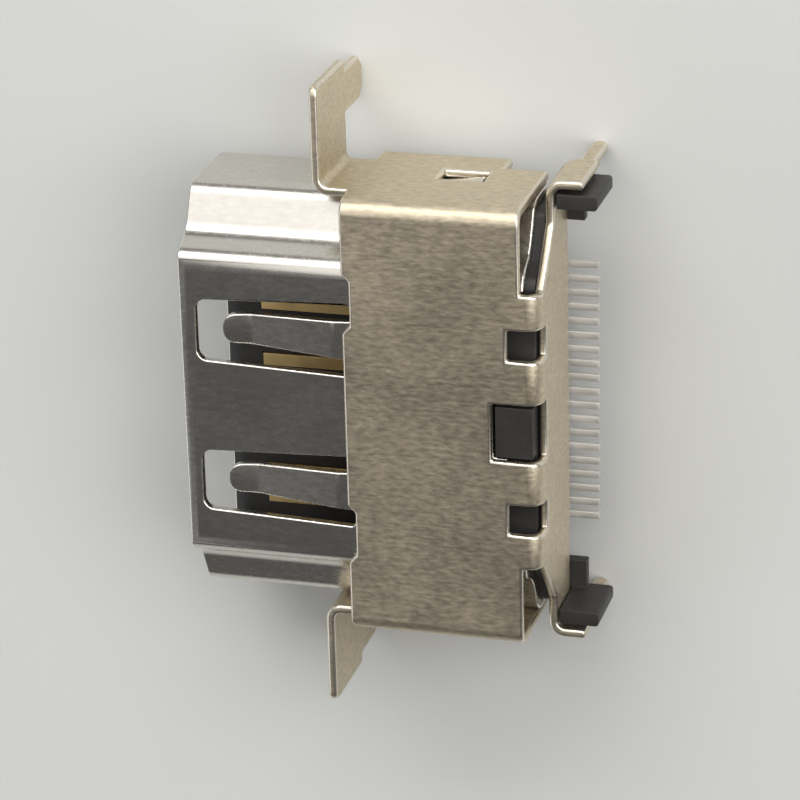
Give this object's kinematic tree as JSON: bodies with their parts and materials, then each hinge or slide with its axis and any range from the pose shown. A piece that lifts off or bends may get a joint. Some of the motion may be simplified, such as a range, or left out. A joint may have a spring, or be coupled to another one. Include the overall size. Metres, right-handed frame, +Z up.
{
  "type": "mid-mount video socket",
  "caption": "Mid-mount audio-video socket: a folded metal D-shell with spring fingers, a folded cover with board legs, and a black insulator whose tongue carries contacts with solder feet.",
  "frame": {"origin": "middle of the row of solder feet, on the plane of their undersides, which is the board's upper face", "axes": "+X across the socket, -Y out of the mating face, +Z up from the board"},
  "size_m": [0.022, 0.0137, 0.0064],
  "materials": {
    "shell_nickel": "smooth nickel plate over a stamped sheet",
    "cover_nickel": "satin nickel plate over a stamped sheet",
    "black_plastic": "fine matt moulded black",
    "contact_plating": "gold plate on the tongue, bright tin on the solder feet"
  },
  "bodies": {
    "root": {"front_shell": "shell_nickel", "rear_cover": "cover_nickel", "insulator": "black_plastic", "tail_comb": "black_plastic", "contact_01": "contact_plating", "contact_02": "contact_plating", "contact_03": "contact_plating", "contact_04": "contact_plating", "contact_05": "contact_plating", "contact_06": "contact_plating", "contact_07": "contact_plating", "contact_08": "contact_plating", "contact_09": "contact_plating", "contact_10": "contact_plating", "contact_11": "contact_plating", "contact_12": "contact_plating", "contact_13": "contact_plating", "contact_14": "contact_plating", "contact_15": "contact_plating", "contact_16": "contact_plating", "contact_17": "contact_plating", "contact_18": "contact_plating", "contact_19": "contact_plating"}
  },
  "joints": []
}
